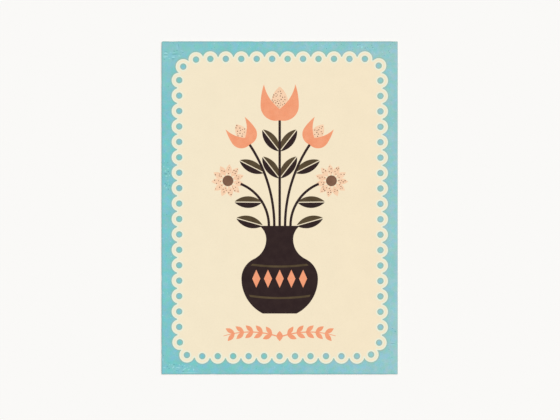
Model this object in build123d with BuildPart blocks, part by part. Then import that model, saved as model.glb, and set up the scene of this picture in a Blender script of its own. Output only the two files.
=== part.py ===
from build123d import *
import os

# Picture postcard in upright format, built up the way it is made: board plies, a coating and films of ink.
# Millimetres, +Z up. The card lies on its writing side, picture up, with its top edge towards +Y.
# The origin is in the middle of the writing side.

# Sheet
sheet_width = 105.0
sheet_height = 148.0

# Board plies and ink films
back_liner_thickness = 0.07
core_thickness = 0.24
front_liner_thickness = 0.07
coating_thickness = 0.02
ground_film = 0.015
panel_film = 0.015
picture_film = 0.015
writing_ink_depth = 0.015  # how deep the ink of the writing side soaks into the uncoated liner

# Lace edge of the cream panel
lace_inset = 7.7  # card edge to the line of eyelet centres
lace_corner_radius = 6.75
eyelet_pitch = 6.87
eyelet_diameter = 2.85
eyelet_sides = 10
scallop_radius = 3.5
first_eyelet = 0.4  # from the left end of the top run

# Vase
vase_base = 27.0  # card's bottom edge to the foot
vase_height = 39.0
vase_foot_width = 15.0
vase_belly_width = 34.0
vase_belly_rise = 15.5
vase_neck_width = 12.0
vase_neck_rise = 33.0
vase_lip_width = 18.0
ornament_margin = 1.6  # clear rim of the vase round its ornament
lozenge_length = 8.0
lozenge_width = 3.6
lozenge_pitch = 5.2
lozenge_count = 5
band_spacing = 14.0
band_width = 0.9
band_sag = 1.6

# Stems, rising from the lip of the vase
stem_width = 1.1
centre_stem_rise = 48.0
inner_stem_root = 2.4  # from the middle of the lip
inner_stem_reach = 14.0
inner_stem_rise = 37.0
outer_stem_root = 4.8
outer_stem_reach = 23.0
outer_stem_rise = 20.0

# Leaves
leaf_length = 12.5
leaf_width = 5.2
leaf_vein_width = 0.4
lower_leaf_place = 21.0  # along the centre stem
upper_leaf_place = 33.0
centre_leaf_spread = 38.0  # degrees from the stem
inner_leaf_place = 24.0
inner_leaf_spread = 42.0
outer_leaf_place = 11.0
outer_leaf_spread = 58.0
lip_leaf_root = 7.4
lip_leaf_spread = 74.0

# Tulips
tulip_width = 17.0
tulip_height = 16.0
tulip_belly_rise = 6.5
tulip_tip_spread = 14.0
tulip_notch_rise = 5.0
tulip_inner_sag = 1.2
tulip_heart_width = 7.5
tulip_heart_height = 15.0
side_tulip_scale = 0.72

# Asters
aster_petal_count = 11
aster_petal_length = 5.6
aster_petal_width = 2.5
aster_petal_root = 1.8  # from the middle of the flower
aster_eye_radius = 2.4
aster_seat = 1.6  # how far the stem reaches in between the petals

# Sprig under the picture
sprig_height = 17.0  # card's bottom edge to its tips
sprig_width = 50.0
sprig_sag = 1.8
sprig_line_width = 0.5
sprig_leaf_length = 4.4
sprig_leaf_width = 1.9
sprig_leaf_pitch = 4.2
sprig_leaf_spread = 38.0
sprig_bud_length = 4.6
sprig_bud_width = 2.8

# Writing side, read with the card turned on its long edge
writing_line_width = 0.3
divider_length = 85.0
divider_shift = 3.0  # from the middle of the sheet, towards the stamp
address_line_length = 54.0
address_line_pitch = 10.0
address_line_count = 4
address_line_drop = 17.0  # middle of the address lines below the middle of the sheet
print_margin = 7.0
stamp_width = 20.0
stamp_height = 24.0

# Stack through the thickness, from the writing side up to the picture
core_back = back_liner_thickness
front_liner_back = core_back + core_thickness
coating_back = front_liner_back + front_liner_thickness
ground_back = coating_back + coating_thickness
panel_back = ground_back + ground_film
picture_back = panel_back + panel_film

vase_lip = vase_base + vase_height


def layer_plane(back):
    """Plane on which a layer starts, with the middle of the card's bottom edge as its origin."""
    return Plane(origin=(0, -sheet_height / 2, back))


def sheet_outline():
    """Full sheet, drawn from the middle of its bottom edge."""
    Rectangle(sheet_width, sheet_height, align=(Align.CENTER, Align.MIN))


def lozenge(length, width):
    """Lozenge that grows from the origin towards the top edge."""
    with BuildSketch() as diamond:
        with BuildLine():
            Polyline((0, 0), (width / 2, length / 2), (0, length), (-width / 2, length / 2), close=True)
        make_face()
    return diamond.sketch


def pointed_oval(length, width):
    """Pointed oval that grows from the origin towards the top edge."""
    with BuildSketch() as oval:
        with BuildLine():
            right_edge = ThreePointArc((0, 0), (width / 2, length / 2), (0, length))
            mirror(right_edge, about=Plane.YZ)
        make_face()
    return oval.sketch


def place_along(stem, distance, spread=0):
    """Place on a stem at a distance from its root, leaning away from the stem by spread degrees."""
    point = stem.position_at(distance, position_mode=PositionMode.LENGTH)
    heading = stem.tangent_angle_at(distance, position_mode=PositionMode.LENGTH)
    return Location((point.X, point.Y), heading - 90 - spread)


# Writing side print
writing_plane = Plane(origin=(0, 0, 0), x_dir=(0, 1, 0), z_dir=(0, 0, -1))
address_right = sheet_height / 2 - print_margin

with BuildSketch(writing_plane) as divider_print:
    with Locations((divider_shift, 0)):
        Rectangle(writing_line_width, divider_length)

with BuildSketch(writing_plane) as address_print:
    with Locations((address_right - address_line_length / 2, -address_line_drop)):
        with GridLocations(0, address_line_pitch, 1, address_line_count):
            Rectangle(address_line_length, writing_line_width)

with BuildSketch(writing_plane) as stamp_print:
    with Locations((address_right - stamp_width / 2, sheet_width / 2 - print_margin - stamp_height / 2)):
        Rectangle(stamp_width, stamp_height)
        Rectangle(stamp_width - 2 * writing_line_width, stamp_height - 2 * writing_line_width,
                  mode=Mode.SUBTRACT)

with BuildPart() as divider_line:
    extrude(divider_print.sketch, amount=-writing_ink_depth)

with BuildPart() as address_lines:
    extrude(address_print.sketch, amount=-writing_ink_depth)

with BuildPart() as stamp_frame:
    extrude(stamp_print.sketch, amount=-writing_ink_depth)

# Board
with BuildPart() as back_liner:
    with BuildSketch(layer_plane(0)):
        sheet_outline()
    extrude(amount=back_liner_thickness)
    for ink in (divider_print, address_print, stamp_print):
        extrude(ink.sketch, amount=-writing_ink_depth, mode=Mode.SUBTRACT)

with BuildPart() as core_ply:
    with BuildSketch(layer_plane(core_back)):
        sheet_outline()
    extrude(amount=core_thickness)

with BuildPart() as front_liner:
    with BuildSketch(layer_plane(front_liner_back)):
        sheet_outline()
    extrude(amount=front_liner_thickness)

with BuildPart() as front_coating:
    with BuildSketch(layer_plane(coating_back)):
        sheet_outline()
    extrude(amount=coating_thickness)

# Aqua ground, printed to the edge of the sheet
with BuildPart() as aqua_ground:
    with BuildSketch(layer_plane(ground_back)):
        sheet_outline()
    extrude(amount=ground_film)

# Cream panel: scallops and eyelets follow one rounded rectangle, clockwise from its top left
lace_run_x = sheet_width - 2 * lace_inset - 2 * lace_corner_radius
lace_run_y = sheet_height - 2 * lace_inset - 2 * lace_corner_radius

with BuildLine() as lace_path:
    start, heading = Vector(-lace_run_x / 2, sheet_height - lace_inset), Vector(1, 0)
    for run in (lace_run_x, lace_run_y, lace_run_x, lace_run_y):
        side = Line(start, start + heading * run)
        corner = JernArc(side @ 1, side % 1, lace_corner_radius, -90)
        start, heading = corner @ 1, corner % 1

lace_line = lace_path.wire()
eyelet_count = round(lace_line.length / eyelet_pitch)
eyelet_step = lace_line.length / eyelet_count
eyelet_places = [
    lace_line.position_at(first_eyelet + number * eyelet_step, position_mode=PositionMode.LENGTH)
    for number in range(eyelet_count)
]

with BuildPart() as cream_lace_panel:
    with BuildSketch(layer_plane(panel_back)):
        add(lace_path.line)
        make_face()
        with Locations(*eyelet_places):
            Circle(scallop_radius)
        with Locations(*eyelet_places):
            RegularPolygon(eyelet_diameter / 2, eyelet_sides, mode=Mode.SUBTRACT)
    extrude(amount=panel_film)

# Vase, with its ornament left open for the other inks
foot = Vector(vase_foot_width / 2, vase_base)
belly = Vector(vase_belly_width / 2, vase_base + vase_belly_rise)
neck = Vector(vase_neck_width / 2, vase_base + vase_neck_rise)
lip = Vector(vase_lip_width / 2, vase_lip)
shoulder = (belly + neck) / 2

with BuildSketch() as vase_outline:
    with BuildLine():
        Line((0, vase_base), foot)
        TangentArc(belly, foot, tangent=(0, -1))
        TangentArc(belly, shoulder, tangent=(0, 1))
        TangentArc(neck, shoulder, tangent=(0, -1))
        TangentArc(neck, lip, tangent=(0, 1))
        Line(lip, (0, vase_lip))
        Line((0, vase_lip), (0, vase_base))
    make_face()
    mirror(about=Plane.YZ)

with BuildSketch() as vase_field:
    offset(vase_outline.sketch, amount=-ornament_margin)

with BuildSketch() as lozenges:
    with Locations((0, belly.Y - lozenge_length / 2)):
        with GridLocations(lozenge_pitch, 0, lozenge_count, 1):
            add(lozenge(lozenge_length, lozenge_width))
    add(vase_field.sketch, mode=Mode.INTERSECT)

with BuildSketch() as bands:
    for band_height in (belly.Y - band_spacing / 2, belly.Y + band_spacing / 2):
        with BuildLine() as band_line:
            SagittaArc((-belly.X, band_height), (belly.X, band_height), -band_sag)
        trace(band_line.line, band_width)
    add(vase_field.sketch, mode=Mode.INTERSECT)

with BuildSketch() as vase_print:
    add(vase_outline.sketch)
    add(lozenges.sketch, mode=Mode.SUBTRACT)
    add(bands.sketch, mode=Mode.SUBTRACT)

# Stems of the right half and of the middle; the bouquet is the same on both sides
with BuildLine() as centre_line:
    centre_stem = Line((0, vase_lip), (0, vase_lip + centre_stem_rise))

with BuildLine() as inner_line:
    inner_stem = TangentArc(
        (inner_stem_root, vase_lip), (inner_stem_reach, vase_lip + inner_stem_rise), tangent=(0, 1)
    )

with BuildLine() as outer_line:
    outer_stem = TangentArc(
        (outer_stem_root, vase_lip), (outer_stem_reach, vase_lip + outer_stem_rise), tangent=(0, 1)
    )

# Tulips: two curved petals in front of a pointed heart, seated on the ends of the stems
tulip_belly = Vector(tulip_width / 2, tulip_belly_rise)
tulip_tip = Vector(tulip_tip_spread / 2, tulip_height)

with BuildSketch() as tulip_cup:
    with BuildLine():
        cup = TangentArc(tulip_belly, (0, 0), tangent=(0, -1))
        flank = TangentArc(tulip_belly, tulip_tip, tangent=(0, 1))
        inner_edge = SagittaArc(flank @ 1, (0, tulip_notch_rise), tulip_inner_sag)
        Line(inner_edge @ 1, cup @ 1)
    make_face()
    mirror(about=Plane.YZ)

tulip_heart = pointed_oval(tulip_heart_height, tulip_heart_width)
centre_tip = place_along(centre_stem, centre_stem.length - stem_width)
inner_tip = place_along(inner_stem, inner_stem.length - stem_width)

with BuildSketch() as tulip_cups:
    with Locations(inner_tip):
        add(scale(tulip_cup.sketch, by=side_tulip_scale, mode=Mode.PRIVATE))
    mirror(about=Plane.YZ)
    with Locations(centre_tip):
        add(tulip_cup.sketch)

with BuildSketch() as tulip_heart_print:
    with Locations(inner_tip):
        add(scale(tulip_heart, by=side_tulip_scale, mode=Mode.PRIVATE))
    mirror(about=Plane.YZ)
    with Locations(centre_tip):
        add(tulip_heart)
    add(tulip_cups.sketch, mode=Mode.SUBTRACT)

# Asters, centred on the ends of the outer stems
aster_place = place_along(outer_stem, outer_stem.length)
aster_radius = aster_petal_root + aster_petal_length

with BuildSketch() as aster_eye_print:
    with Locations(aster_place):
        Circle(aster_eye_radius)
    mirror(about=Plane.YZ)

with BuildSketch() as aster_petal_print:
    with Locations(aster_place):
        with PolarLocations(aster_petal_root, aster_petal_count):
            add(lozenge(aster_petal_length, aster_petal_width), rotation=-90)
    mirror(about=Plane.YZ)
    add(aster_eye_print.sketch, mode=Mode.SUBTRACT)

blossoms = (tulip_cups, tulip_heart_print, aster_eye_print, aster_petal_print)

with BuildSketch() as stem_print:
    trace(inner_line.line, stem_width)
    trace(outer_line.line, stem_width)
    with Locations(aster_place):
        Circle(aster_radius - aster_seat, mode=Mode.SUBTRACT)
    mirror(about=Plane.YZ)
    trace(centre_line.line, stem_width)
    for blossom in blossoms:
        add(blossom.sketch, mode=Mode.SUBTRACT)

# Leaves: each is two halves of different ink, parted by a bare vein
leaf_places = (
    place_along(centre_stem, lower_leaf_place, centre_leaf_spread),
    place_along(centre_stem, upper_leaf_place, centre_leaf_spread),
    place_along(inner_stem, inner_leaf_place, inner_leaf_spread),
    place_along(outer_stem, outer_leaf_place, outer_leaf_spread),
    Location((lip_leaf_root, vase_lip), -lip_leaf_spread),
)


def leaf_halves(side, neighbours):
    """Halves of all leaves on one side of their veins, 1 outside and -1 inside, cut clear of neighbours."""
    with BuildSketch() as half:
        with BuildLine():
            edge = ThreePointArc((0, 0), (side * leaf_width / 2, leaf_length / 2), (0, leaf_length))
            Line(edge @ 1, edge @ 0)
        make_face()
        Rectangle(leaf_vein_width, 2 * leaf_length, mode=Mode.SUBTRACT)
    with BuildSketch() as halves:
        with Locations(*leaf_places):
            add(half.sketch)
        mirror(about=Plane.YZ)
        for neighbour in neighbours:
            add(neighbour.sketch, mode=Mode.SUBTRACT)
    return halves


inner_half_print = leaf_halves(-1, (vase_outline, stem_print, *blossoms))
outer_half_print = leaf_halves(1, (vase_outline, stem_print, inner_half_print, *blossoms))

# Sprig: two arching twigs with paired leaves, on both sides of a bud
twig_root = sprig_bud_width / 2
twig_leaf_count = int((sprig_width / 2 - twig_root) / sprig_leaf_pitch)

with BuildLine() as twig_line:
    twig = SagittaArc((twig_root, sprig_height), (sprig_width / 2, sprig_height), sprig_sag)

with BuildSketch() as sprig_print:
    trace(twig_line.line, sprig_line_width)
    for number in range(twig_leaf_count):
        for spread in (sprig_leaf_spread, -sprig_leaf_spread):
            with Locations(place_along(twig, (number + 0.5) * sprig_leaf_pitch, spread)):
                add(lozenge(sprig_leaf_length, sprig_leaf_width))
    mirror(about=Plane.YZ)
    with Locations((0, sprig_height - sprig_bud_length / 2)):
        add(lozenge(sprig_bud_length, sprig_bud_width))

# Picture films, all on the cream panel
picture_prints = {
    "vase_body": vase_print.sketch,
    "vase_lozenges": lozenges.sketch,
    "vase_bands": bands.sketch,
    "flower_stems": stem_print.sketch,
    "leaf_inner_halves": inner_half_print.sketch,
    "leaf_outer_halves": outer_half_print.sketch,
    "tulip_petals": tulip_cups.sketch,
    "tulip_hearts": tulip_heart_print.sketch,
    "aster_petals": aster_petal_print.sketch,
    "aster_eyes": aster_eye_print.sketch,
    "ornament_sprig": sprig_print.sketch,
}

pieces = {
    "back_liner": back_liner,
    "core_ply": core_ply,
    "front_liner": front_liner,
    "front_coating": front_coating,
    "aqua_ground": aqua_ground,
    "cream_lace_panel": cream_lace_panel,
    "divider_line": divider_line,
    "address_lines": address_lines,
    "stamp_frame": stamp_frame,
}

for name, picture_print in picture_prints.items():
    with BuildPart() as film:
        with BuildSketch(layer_plane(picture_back)):
            add(picture_print)
        extrude(amount=picture_film)
    pieces[name] = film

os.makedirs("parts", exist_ok=True)
for name, piece in pieces.items():
    piece.part.label = name
    export_step(piece.part, f"parts/{name}.step")
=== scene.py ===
import math
import random

import bmesh
import bpy
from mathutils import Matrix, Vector, noise


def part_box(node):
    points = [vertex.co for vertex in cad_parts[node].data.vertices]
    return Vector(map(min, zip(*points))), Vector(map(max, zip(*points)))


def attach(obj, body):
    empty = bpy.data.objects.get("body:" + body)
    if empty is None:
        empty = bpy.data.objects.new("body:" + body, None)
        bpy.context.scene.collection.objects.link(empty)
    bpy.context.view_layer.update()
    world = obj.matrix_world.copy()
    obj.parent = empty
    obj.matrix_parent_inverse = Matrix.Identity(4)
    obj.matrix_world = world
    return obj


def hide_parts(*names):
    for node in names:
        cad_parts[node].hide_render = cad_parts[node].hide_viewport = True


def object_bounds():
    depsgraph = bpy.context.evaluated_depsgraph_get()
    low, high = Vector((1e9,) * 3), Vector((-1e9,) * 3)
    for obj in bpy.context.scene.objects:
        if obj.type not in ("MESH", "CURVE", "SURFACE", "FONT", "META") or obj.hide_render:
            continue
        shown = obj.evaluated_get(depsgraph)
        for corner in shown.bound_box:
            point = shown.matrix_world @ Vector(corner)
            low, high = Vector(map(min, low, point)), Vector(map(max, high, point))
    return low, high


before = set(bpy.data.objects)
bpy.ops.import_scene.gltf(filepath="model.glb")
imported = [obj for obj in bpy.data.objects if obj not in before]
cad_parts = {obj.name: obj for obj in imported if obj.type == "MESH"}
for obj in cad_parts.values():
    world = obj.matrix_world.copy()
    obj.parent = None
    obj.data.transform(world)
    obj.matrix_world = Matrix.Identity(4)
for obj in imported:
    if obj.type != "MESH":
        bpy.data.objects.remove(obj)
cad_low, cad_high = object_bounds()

# A picture postcard in upright format, lying picture up: a plied board with worn edges, an aqua ground
# printed to the edge, a cream panel with a scalloped eyelet lace border and a flower vase in flat inks.
# Lengths are in millimetres on the card, from the middle of the sheet, unless a name ends in _m for
# metres or _um for thousandths of a millimetre.

MM = 0.001
MICROMETRE = 1e-6
WELD_M = 1e-7  # points that are closer than this become one
SHEET_WIDTH = round((cad_high.x - cad_low.x) / MM, 3)
SHEET_HEIGHT = round((cad_high.y - cad_low.y) / MM, 3)

# a Mix node's places for two values and their result, which share their names
MIX_SOCKETS = {"RGBA": (6, 7, 2), "VECTOR": (4, 5, 1)}

scene = bpy.context.scene
scene.view_settings.view_transform = "Standard"


def linear(red, green, blue):
    """Linear colour from the red, green and blue of a colour card, 0 to 255."""
    def channel(value):
        value /= 255
        return value / 12.92 if value <= 0.04045 else ((value + 0.055) / 1.055) ** 2.4

    return (channel(red), channel(green), channel(blue), 1.0)


def add_object(name, data):
    """New object, linked to the scene."""
    made = bpy.data.objects.new(name, data)
    scene.collection.objects.link(made)
    return made


class Nodes:
    """Short calls for building a node tree."""

    def __init__(self, tree):
        self.tree = tree

    def node(self, kind, inputs=None, **settings):
        """Node with its settings, and its inputs set to values or linked to other nodes."""
        made = self.tree.nodes.new(kind)
        for setting, value in settings.items():
            setattr(made, setting, value)
        for key, value in (inputs or {}).items():
            self.feed(made.inputs[key], value)
        return made

    def feed(self, socket, value):
        if isinstance(value, bpy.types.NodeSocket):
            self.tree.links.new(value, socket)
        else:
            socket.default_value = value

    def maths(self, operation, *values):
        made = self.node("ShaderNodeMath", dict(enumerate(values)), operation=operation)
        return made.outputs["Value"]

    def plus(self, first, second):
        return self.maths("ADD", first, second)

    def minus(self, first, second):
        return self.maths("SUBTRACT", first, second)

    def times(self, first, second):
        return self.maths("MULTIPLY", first, second)

    def over(self, first, second):
        return self.maths("DIVIDE", first, second)

    def vectors(self, operation, *values):
        made = self.node("ShaderNodeVectorMath", dict(enumerate(values)), operation=operation)
        return made.outputs["Value" if operation in ("DOT_PRODUCT", "LENGTH") else "Vector"]

    def scaled(self, vector, factor):
        made = self.node("ShaderNodeVectorMath", {0: vector, "Scale": factor}, operation="SCALE")
        return made.outputs["Vector"]

    def vector(self, x=0.0, y=0.0, z=0.0):
        return self.node("ShaderNodeCombineXYZ", {"X": x, "Y": y, "Z": z}).outputs["Vector"]

    def axes(self, vector):
        """X, Y and Z of a vector."""
        return self.node("ShaderNodeSeparateXYZ", {"Vector": vector}).outputs

    def mixed(self, kind, first, second, share, **settings):
        """Second value over the first by a share."""
        one, other, result = MIX_SOCKETS[kind]
        inputs = {"Factor": share, one: first, other: second}
        return self.node("ShaderNodeMix", inputs, data_type=kind, **settings).outputs[result]


class Finish(Nodes):
    """Material of one paper or ink, with patterns laid out in millimetres on the card."""

    def __init__(self, name, roughness, specular):
        self.material = bpy.data.materials.new(name)
        self.material.use_nodes = True
        super().__init__(self.material.node_tree)
        self.tree.nodes.clear()
        self.shader = self.node("ShaderNodeBsdfPrincipled", {
            "Specular IOR Level": specular, "Roughness": roughness,
        })
        self.node("ShaderNodeOutputMaterial", {"Surface": self.shader.outputs["BSDF"]})
        self.card = self.scaled(self.node("ShaderNodeTexCoord").outputs["Object"], 1 / MM)
        self.x, self.y, _ = self.axes(self.card)

    def noise(self, size, detail=2.0, roughness=0.5, stretch=(1, 1, 1), shift=(0, 0, 0), turn=0.0):
        """Noise of about 0 to 1, with features of that size, longer along a stretched axis."""
        laid = self.node("ShaderNodeMapping", {
            "Vector": self.card, "Location": shift, "Rotation": (0, 0, math.radians(turn)),
            "Scale": [1 / (size * part) for part in stretch],
        })
        made = self.node("ShaderNodeTexNoise", {
            "Vector": laid.outputs["Vector"], "Scale": 1.0, "Detail": detail, "Roughness": roughness,
        })
        return made.outputs["Fac"]

    def fit(self, value, band, levels=(0.0, 1.0), smooth=False):
        """Goes from one level to the other as the value crosses a band, and stays level outside it."""
        made = self.node("ShaderNodeMapRange", {
            "Value": value, "From Min": band[0], "From Max": band[1],
            "To Min": levels[0], "To Max": levels[1],
        }, interpolation_type="SMOOTHSTEP" if smooth else "LINEAR")
        return made.outputs["Result"]

    def pattern(self, size, band, levels=(0.0, 1.0), **kind):
        """Noise of a size and kind that goes from one level to the other within a band of its values."""
        return self.fit(self.noise(size, **kind), band, levels)

    def mix(self, first, second, share, blend="MIX"):
        return self.mixed("RGBA", first, second, share, blend_type=blend)

    def shade(self, colour, level):
        """Colour made darker or lighter by a level of about 1."""
        grey = self.node("ShaderNodeCombineColor", {0: level, 1: level, 2: level}).outputs["Color"]
        return self.mix(colour, grey, 1.0, "MULTIPLY")

    def edge_distance(self):
        """How far a point lies inside the edge of the sheet."""
        aside = self.minus(SHEET_WIDTH / 2, self.maths("ABSOLUTE", self.x))
        upward = self.minus(SHEET_HEIGHT / 2, self.maths("ABSOLUTE", self.y))
        return self.maths("MINIMUM", aside, upward)

    def attribute(self, name):
        return self.node("ShaderNodeAttribute", attribute_name=name).outputs["Fac"]

    def bumps(self, height, depth_um, strength):
        made = self.node("ShaderNodeBump", {
            "Strength": strength, "Distance": depth_um * MICROMETRE, "Height": height,
        })
        self.feed(self.shader.inputs["Normal"], made.outputs["Normal"])

    def tooth(self, size, depth_um, strength):
        """Fine tooth of the paper under the ink."""
        self.bumps(self.noise(size, detail=4.0, roughness=0.6), depth_um, strength)

    def colour(self, value):
        self.feed(self.shader.inputs["Base Color"], value)

    def roughness(self, value):
        self.feed(self.shader.inputs["Roughness"], value)


class Recipe(Nodes):
    """Geometry Nodes tree with named sizes."""

    def __init__(self, name, **sizes):
        """Recipe with the labels of its inputs, given for each kind."""
        super().__init__(bpy.data.node_groups.new(name, "GeometryNodeTree"))
        face = self.tree.interface
        self.sockets = {}
        for kind, labels in sizes.items():
            for label in labels:
                socket = face.new_socket(label, in_out="INPUT", socket_type=f"NodeSocket{kind}")
                self.sockets[label] = socket
        face.new_socket("Geometry", in_out="OUTPUT", socket_type="NodeSocketGeometry")
        self.given = self.node("NodeGroupInput")
        self.result = self.node("NodeGroupOutput")

    def __getitem__(self, label):
        return self.given.outputs[label]

    def index(self):
        return self.node("GeometryNodeInputIndex").outputs["Index"]

    def position(self):
        return self.node("GeometryNodeInputPosition").outputs["Position"]

    def attribute(self, name):
        made = self.node("GeometryNodeInputNamedAttribute", {"Name": name}, data_type="FLOAT")
        return made.outputs["Attribute"]

    def kept(self, geometry, name, value):
        """Geometry whose points keep a value under a name."""
        return self.node("GeometryNodeStoreNamedAttribute", {
            "Geometry": geometry, "Name": name, "Value": value,
        }, data_type="FLOAT", domain="POINT").outputs["Geometry"]

    def join(self, *geometries):
        made = self.node("GeometryNodeJoinGeometry")
        for geometry in geometries:
            self.feed(made.inputs["Geometry"], geometry)
        return made.outputs["Geometry"]

    def set_points(self, geometry, **where):
        """Geometry with each point at its Position, or moved by its Offset."""
        made = self.node("GeometryNodeSetPosition", {"Geometry": geometry, **where})
        return made.outputs["Geometry"]

    def closed_line(self, points, position):
        """Closed outline of so many points, each at its position."""
        ring = self.node("GeometryNodeCurvePrimitiveCircle", {"Resolution": points}, mode="RADIUS")
        return self.set_points(ring.outputs["Curve"], Position=position)

    def pointed_oval(self, root, length, width, points=32):
        """Outline of a pointed oval along +X that starts at root."""
        turn = self.times(self.index(), math.tau / points)
        ahead = self.times(self.minus(1.0, self.maths("COSINE", turn)), 0.5)
        swell = self.maths("SINE", self.times(ahead, math.pi))
        side = self.times(self.maths("SIGN", self.maths("SINE", turn)), self.times(width, 0.5))
        edge = self.vector(self.maths("MULTIPLY_ADD", ahead, length, root), self.times(swell, side))
        return self.closed_line(points, edge)

    def filled(self, *outlines):
        """Flat face over the area inside closed outlines."""
        made = self.node("GeometryNodeFillCurve", {"Curve": self.join(*outlines)}, mode="TRIANGLES")
        return made.outputs["Mesh"]

    def flipped(self, mesh):
        return self.node("GeometryNodeFlipFaces", {"Mesh": mesh}).outputs["Mesh"]

    def welded(self, *meshes):
        return self.node("GeometryNodeMergeByDistance", {
            "Geometry": self.join(*meshes), "Distance": WELD_M,
        }).outputs["Geometry"]

    def film(self, flat, level, thickness):
        """Closed film that stands on a level, over flat faces."""
        flat = self.set_points(flat, Offset=self.vector(z=level))
        top = self.node("GeometryNodeExtrudeMesh", {
            "Mesh": flat, "Offset Scale": thickness, "Individual": False,
        }, mode="FACES").outputs["Mesh"]
        return self.welded(top, self.flipped(flat))

    def turned_copies(self, shape, points, angle, scale=(1, 1, 1)):
        """Copies of a flat shape on points, each turned by its angle."""
        return self.node("GeometryNodeInstanceOnPoints", {
            "Points": points, "Instance": shape, "Rotation": self.vector(z=angle), "Scale": scale,
        }).outputs["Instances"]

    def realized(self, geometry):
        return self.node("GeometryNodeRealizeInstances", {"Geometry": geometry}).outputs["Geometry"]

    def finish(self, geometry, ink):
        inked = self.node("GeometryNodeSetMaterial", {
            "Geometry": self.realized(geometry), "Material": ink,
        })
        self.feed(self.result.inputs["Geometry"], inked.outputs["Geometry"])

    def make(self, name, values, base=None):
        """Plain mesh piece from this recipe, with its sizes set."""
        start = base or bpy.data.meshes.new(name)
        piece = add_object(name, start)
        modifier = piece.modifiers.new("recipe", "NODES")
        modifier.node_group = self.tree
        for label, value in values.items():
            modifier[self.sockets[label].identifier] = value
        shaped = piece.evaluated_get(bpy.context.evaluated_depsgraph_get())
        mesh = bpy.data.meshes.new_from_object(shaped)
        piece.modifiers.remove(modifier)
        piece.data = mesh
        bpy.data.meshes.remove(start)
        mesh.name = name
        return piece


# Finishes

EVEN = (0.3, 0.7)      # band of nearly all values of a noise
CLOUDY = (0.38, 0.62)  # narrower band, for more contrast
LEFT_TO_RIGHT = (-SHEET_WIDTH / 2, SHEET_WIDTH / 2)
TOP_LEFT_CORNER = (-SHEET_WIDTH / 2, SHEET_HEIGHT / 2, 0)

# the greens and blues on the right are paler by painted light from the right
AQUA_GREENS = (linear(118, 198, 195), linear(142, 200, 196))  # on the left and on the right
AQUA_BLUES = (linear(129, 193, 204), linear(153, 197, 207))
# painted light from the right: how late it turns the aqua pale
PAINTED_LIGHT_PALING = 1.6  # how late the aqua turns pale towards the right
COOL_TINT = (0.93, 1.0, 1.05, 1.0)
WARM_TINT = (1.075, 1.0, 0.95, 1.0)
FADED_AQUA = linear(160, 198, 199)
FADED_REACH = (3.0, 34.0)  # from the top left corner
FADED_SHARE = 0.24
# painted shade along the cut edge, and a painted highlight along the lit right edge, mixed into the aqua
EDGE_SHADE_AQUA = linear(120, 172, 171)
RIGHT_EDGE_HIGHLIGHT_AQUA = linear(172, 196, 198)
RIGHT_HIGHLIGHT_BAND = (51.0, 52.2)
EDGE_SHADE_BAND = (0.1, 0.8)  # from the edge inwards
EDGE_SHADE_SHARE = 0.62
BARE_COATING = linear(226, 236, 230)
OVERPRINTED_AQUA = linear(168, 170, 142)
OVERPRINT_BAND = (5.9, 6.6)  # from the edge inwards, from the scallops to the eyelets
OVERPRINT_SHARES = (0.42, 0.6)

WORN_AQUA = linear(134, 198, 201)
CREAMS = (linear(244, 231, 202), linear(245, 229, 198))  # on the left and on the right
# paler cream along the lace's edges: a painted highlight, as on a slightly embossed rim
RIM_HIGHLIGHT_CREAM = linear(233, 239, 219)
CREAM_FIBRE = linear(236, 217, 182)
PINHOLE_CREAM = linear(226, 205, 172)
PLAIN_SHARE = 0.45  # of its plain colour in a flat ink
PAPER_FLECK = linear(176, 160, 138)
BOARD_LAYERS = (linear(222, 214, 198), linear(243, 239, 230))
BOARD_TUFT = linear(250, 248, 242)
WRITING_INKS = (linear(120, 108, 98), linear(150, 139, 128))  # full and thin
WRITING_GAP = linear(240, 235, 224)


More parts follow.
